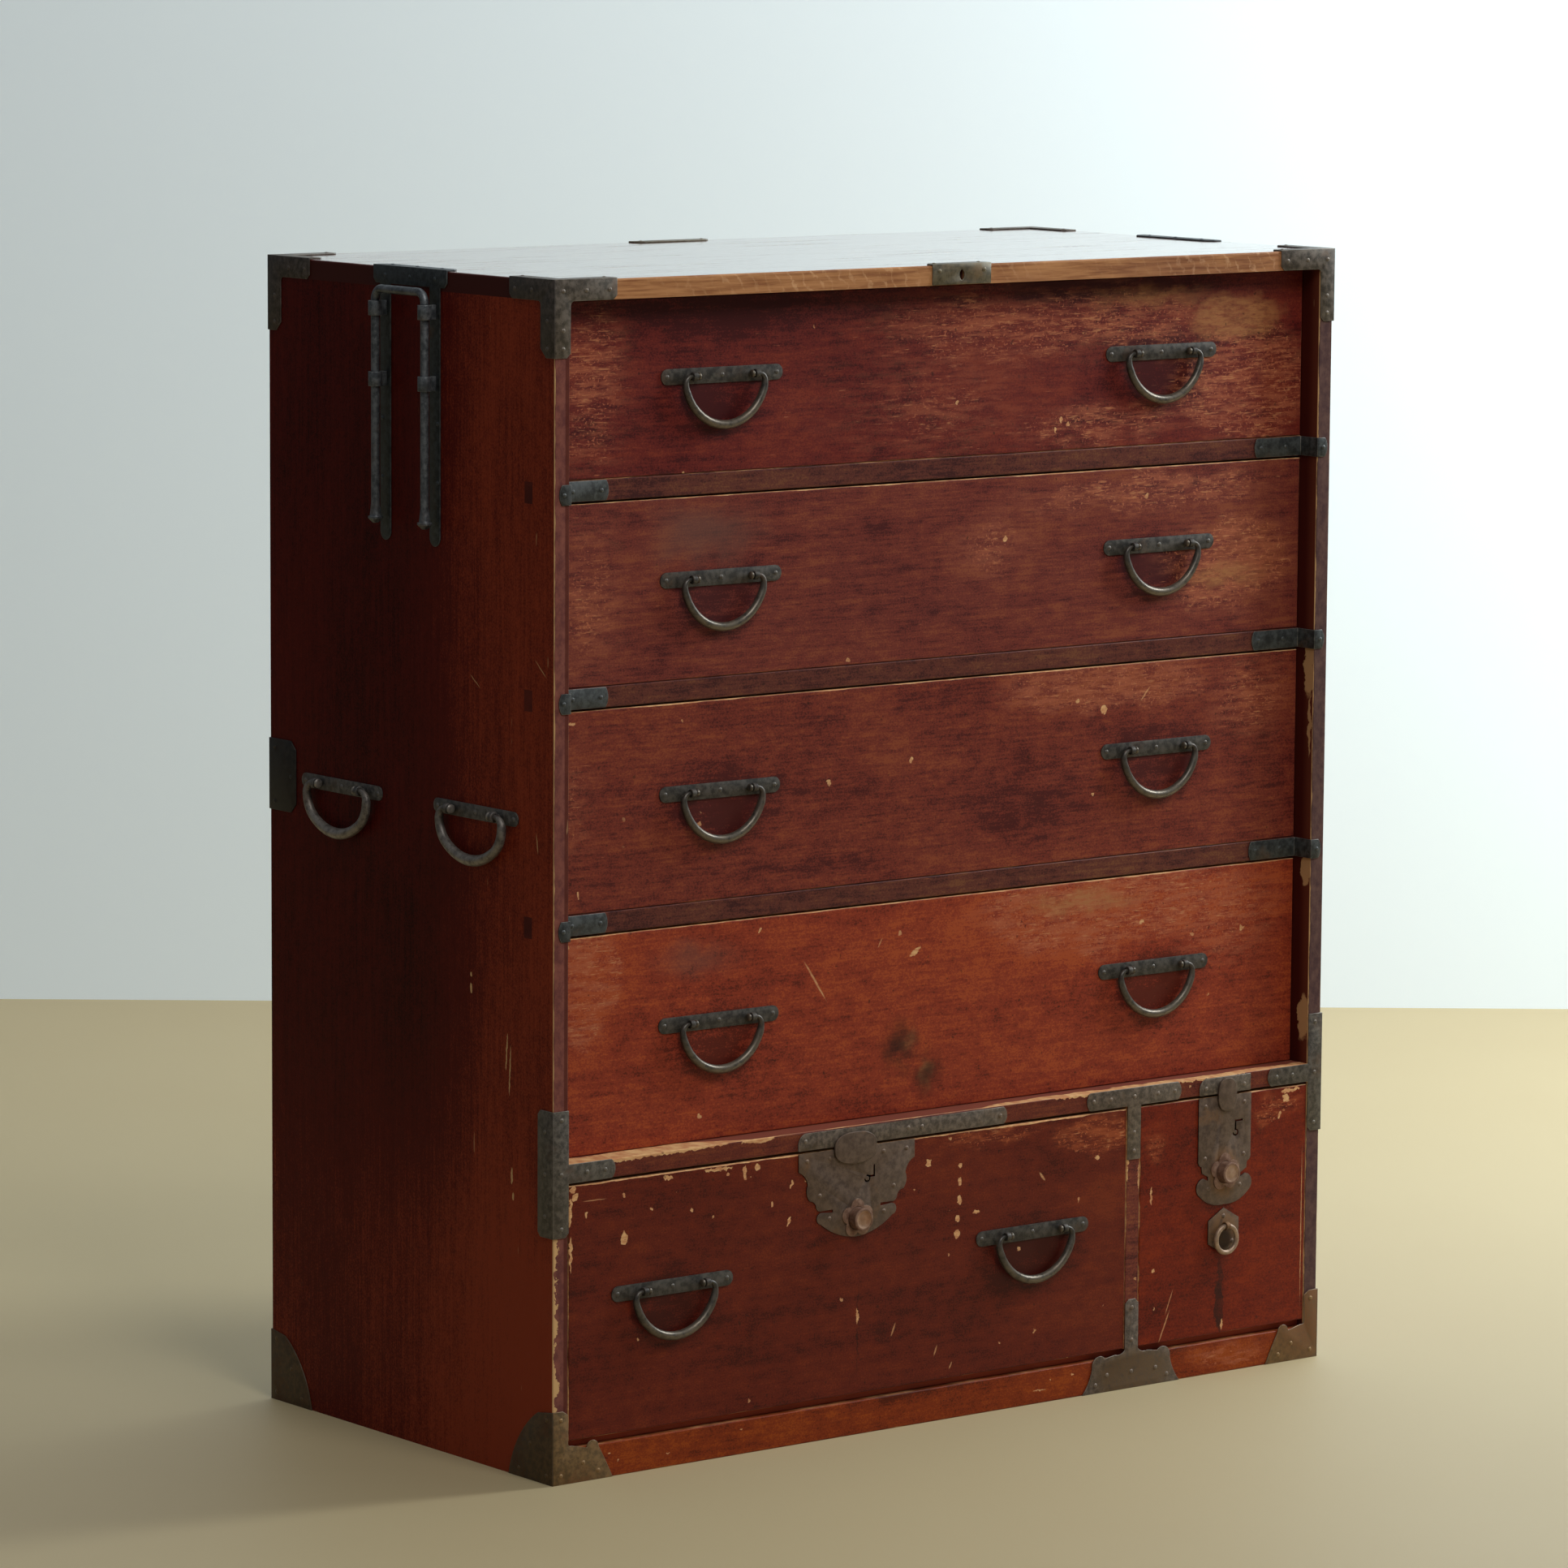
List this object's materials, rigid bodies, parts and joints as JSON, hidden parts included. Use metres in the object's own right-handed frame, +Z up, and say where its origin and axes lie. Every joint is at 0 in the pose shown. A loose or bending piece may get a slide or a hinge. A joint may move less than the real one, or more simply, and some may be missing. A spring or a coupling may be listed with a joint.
{
  "type": "clothing chest of drawers",
  "caption": "Lacquered wooden clothing chest with forged iron corner irons, wide recessed drawers, locked lower drawers and carrying handles",
  "frame": {"origin": "middle of the footprint, on the floor", "axes": "+Z up, the drawers' fronts face -Y, +X to the right seen from the front"},
  "size_m": [0.9422, 0.4542, 1.0621],
  "materials": {
    "lacquer_front": "worn gloss lacquer, red-brown",
    "lacquer_side": "satin lacquer, dark red-brown with upright grain",
    "lacquer_top": "gloss lacquer, dusty",
    "paulownia": "bare softwood",
    "forged_iron": "blackened, worn at the edges",
    "lock_iron": "aged brown iron"
  },
  "bodies": {
    "carcass": {"side_panel_left": "lacquer_side", "side_panel_right": "lacquer_side", "top_panel": "lacquer_top", "base_boards": "lacquer_front", "floor_panel": "paulownia", "drawer_rails": "lacquer_front", "main_rail": "lacquer_front", "dust_boards": "paulownia", "partition": "lacquer_front", "back_boards": "paulownia", "top_corner_irons": "forged_iron", "bottom_corner_irons": "forged_iron", "edge_straps": "forged_iron", "rail_straps": "forged_iron", "main_rail_irons": "forged_iron", "top_edge_plates": "lock_iron", "pole_handle_plates": "forged_iron", "pole_handle_guides": "forged_iron", "side_handle_plates": "forged_iron"},
    "top_lock_bolt": {"top_lock_bolt": "lock_iron"},
    "pole_bar_left": {"pole_bar_left": "forged_iron"},
    "pole_bar_right": {"pole_bar_right": "forged_iron"},
    "side_bail_left_front": {"side_bail_left_front": "forged_iron"},
    "side_bail_left_rear": {"side_bail_left_rear": "forged_iron"},
    "side_bail_right_front": {"side_bail_right_front": "forged_iron"},
    "side_bail_right_rear": {"side_bail_right_rear": "forged_iron"},
    "drawer_1": {"drawer_1_front": "lacquer_front", "drawer_1_box": "paulownia", "drawer_1_pulls": "forged_iron"},
    "drawer_1_bail_left": {"drawer_1_bail_left": "forged_iron"},
    "drawer_1_bail_right": {"drawer_1_bail_right": "forged_iron"},
    "drawer_2": {"drawer_2_front": "lacquer_front", "drawer_2_box": "paulownia", "drawer_2_pulls": "forged_iron"},
    "drawer_2_bail_left": {"drawer_2_bail_left": "forged_iron"},
    "drawer_2_bail_right": {"drawer_2_bail_right": "forged_iron"},
    "drawer_3": {"drawer_3_front": "lacquer_front", "drawer_3_box": "paulownia", "drawer_3_pulls": "forged_iron"},
    "drawer_3_bail_left": {"drawer_3_bail_left": "forged_iron"},
    "drawer_3_bail_right": {"drawer_3_bail_right": "forged_iron"},
    "drawer_4": {"drawer_4_front": "lacquer_front", "drawer_4_box": "paulownia", "drawer_4_pulls": "forged_iron"},
    "drawer_4_bail_left": {"drawer_4_bail_left": "forged_iron"},
    "drawer_4_bail_right": {"drawer_4_bail_right": "forged_iron"},
    "large_drawer": {"large_drawer_front": "lacquer_front", "large_drawer_box": "paulownia", "large_drawer_pulls": "forged_iron", "large_drawer_lock_plate": "lock_iron"},
    "large_drawer_bail_left": {"large_drawer_bail_left": "forged_iron"},
    "large_drawer_bail_right": {"large_drawer_bail_right": "forged_iron"},
    "large_drawer_lock_bolt": {"large_drawer_lock_bolt": "lock_iron"},
    "large_drawer_lock_button": {"large_drawer_lock_button": "lock_iron"},
    "small_drawer": {"small_drawer_front": "lacquer_front", "small_drawer_box": "paulownia", "small_drawer_lock_plate": "lock_iron"},
    "small_drawer_lock_bolt": {"small_drawer_lock_bolt": "lock_iron"},
    "small_drawer_lock_button": {"small_drawer_lock_button": "lock_iron"},
    "small_drawer_ring": {"small_drawer_ring": "forged_iron"}
  },
  "joints": [
    {"name": "top_lock", "type": "slide", "parent": "carcass", "child": "top_lock_bolt", "axis": [0, 0, -1], "range_m": [0, 0.008]},
    {"name": "pole_bar_left_lift", "type": "slide", "parent": "carcass", "child": "pole_bar_left", "axis": [0, 0, 1], "range_m": [0, 0.105]},
    {"name": "pole_bar_right_lift", "type": "slide", "parent": "carcass", "child": "pole_bar_right", "axis": [0, 0, 1], "range_m": [0, 0.105]},
    {"name": "side_bail_left_front_swing", "type": "hinge", "parent": "carcass", "child": "side_bail_left_front", "pos_m": [-0.4593, -0.09895, 0.586], "axis": [0, 1, 0], "range_deg": [0, 170]},
    {"name": "side_bail_left_rear_swing", "type": "hinge", "parent": "carcass", "child": "side_bail_left_rear", "pos_m": [-0.4593, 0.10905, 0.586], "axis": [0, 1, 0], "range_deg": [0, 170]},
    {"name": "side_bail_right_front_swing", "type": "hinge", "parent": "carcass", "child": "side_bail_right_front", "pos_m": [0.4593, -0.09895, 0.586], "axis": [0, -1, 0], "range_deg": [0, 170]},
    {"name": "side_bail_right_rear_swing", "type": "hinge", "parent": "carcass", "child": "side_bail_right_rear", "pos_m": [0.4593, 0.10905, 0.586], "axis": [0, -1, 0], "range_deg": [0, 170]},
    {"name": "drawer_1_slide", "type": "slide", "parent": "carcass", "child": "drawer_1", "axis": [0, -1, 0], "range_m": [0, 0.33]},
    {"name": "drawer_1_bail_left_swing", "type": "hinge", "parent": "drawer_1", "child": "drawer_1_bail_left", "pos_m": [-0.2534, -0.19745, 0.97005], "axis": [-1, 0, 0], "range_deg": [0, 170]},
    {"name": "drawer_1_bail_right_swing", "type": "hinge", "parent": "drawer_1", "child": "drawer_1_bail_right", "pos_m": [0.2599, -0.19745, 0.97005], "axis": [-1, 0, 0], "range_deg": [0, 170]},
    {"name": "drawer_2_slide", "type": "slide", "parent": "carcass", "child": "drawer_2", "axis": [0, -1, 0], "range_m": [0, 0.33]},
    {"name": "drawer_2_bail_left_swing", "type": "hinge", "parent": "drawer_2", "child": "drawer_2_bail_left", "pos_m": [-0.2534, -0.19745, 0.7908], "axis": [-1, 0, 0], "range_deg": [0, 170]},
    {"name": "drawer_2_bail_right_swing", "type": "hinge", "parent": "drawer_2", "child": "drawer_2_bail_right", "pos_m": [0.2599, -0.19745, 0.7908], "axis": [-1, 0, 0], "range_deg": [0, 170]},
    {"name": "drawer_3_slide", "type": "slide", "parent": "carcass", "child": "drawer_3", "axis": [0, -1, 0], "range_m": [0, 0.33]},
    {"name": "drawer_3_bail_left_swing", "type": "hinge", "parent": "drawer_3", "child": "drawer_3_bail_left", "pos_m": [-0.2534, -0.19745, 0.60069], "axis": [-1, 0, 0], "range_deg": [0, 170]},
    {"name": "drawer_3_bail_right_swing", "type": "hinge", "parent": "drawer_3", "child": "drawer_3_bail_right", "pos_m": [0.2599, -0.19745, 0.60069], "axis": [-1, 0, 0], "range_deg": [0, 170]},
    {"name": "drawer_4_slide", "type": "slide", "parent": "carcass", "child": "drawer_4", "axis": [0, -1, 0], "range_m": [0, 0.33]},
    {"name": "drawer_4_bail_left_swing", "type": "hinge", "parent": "drawer_4", "child": "drawer_4_bail_left", "pos_m": [-0.2534, -0.19745, 0.39349], "axis": [-1, 0, 0], "range_deg": [0, 170]},
    {"name": "drawer_4_bail_right_swing", "type": "hinge", "parent": "drawer_4", "child": "drawer_4_bail_right", "pos_m": [0.2599, -0.19745, 0.39349], "axis": [-1, 0, 0], "range_deg": [0, 170]},
    {"name": "large_drawer_slide", "type": "slide", "parent": "carcass", "child": "large_drawer", "axis": [0, -1, 0], "range_m": [0, 0.33]},
    {"name": "large_drawer_bail_left_swing", "type": "hinge", "parent": "large_drawer", "child": "large_drawer_bail_left", "pos_m": [-0.3217, -0.22095, 0.16376], "axis": [-1, 0, 0], "range_deg": [0, 170]},
    {"name": "large_drawer_bail_right_swing", "type": "hinge", "parent": "large_drawer", "child": "large_drawer_bail_right", "pos_m": [0.0957, -0.22095, 0.16376], "axis": [-1, 0, 0], "range_deg": [0, 170]},
    {"name": "large_drawer_lock", "type": "slide", "parent": "large_drawer", "child": "large_drawer_lock_bolt", "axis": [0, 0, 1], "range_m": [0, 0.008]},
    {"name": "large_drawer_button_press", "type": "slide", "parent": "large_drawer", "child": "large_drawer_lock_button", "axis": [0, 1, 0], "range_m": [0, 0.004], "stiffness_N_per_m": 300},
    {"name": "small_drawer_slide", "type": "slide", "parent": "carcass", "child": "small_drawer", "axis": [0, -1, 0], "range_m": [0, 0.33]},
    {"name": "small_drawer_lock", "type": "slide", "parent": "small_drawer", "child": "small_drawer_lock_bolt", "axis": [0, 0, 1], "range_m": [0, 0.008]},
    {"name": "small_drawer_button_press", "type": "slide", "parent": "small_drawer", "child": "small_drawer_lock_button", "axis": [0, 1, 0], "range_m": [0, 0.004], "stiffness_N_per_m": 300},
    {"name": "small_drawer_ring_swing", "type": "hinge", "parent": "small_drawer", "child": "small_drawer_ring", "pos_m": [0.3315, -0.22055, 0.142], "axis": [-1, 0, 0], "range_deg": [0, 170]}
  ]
}
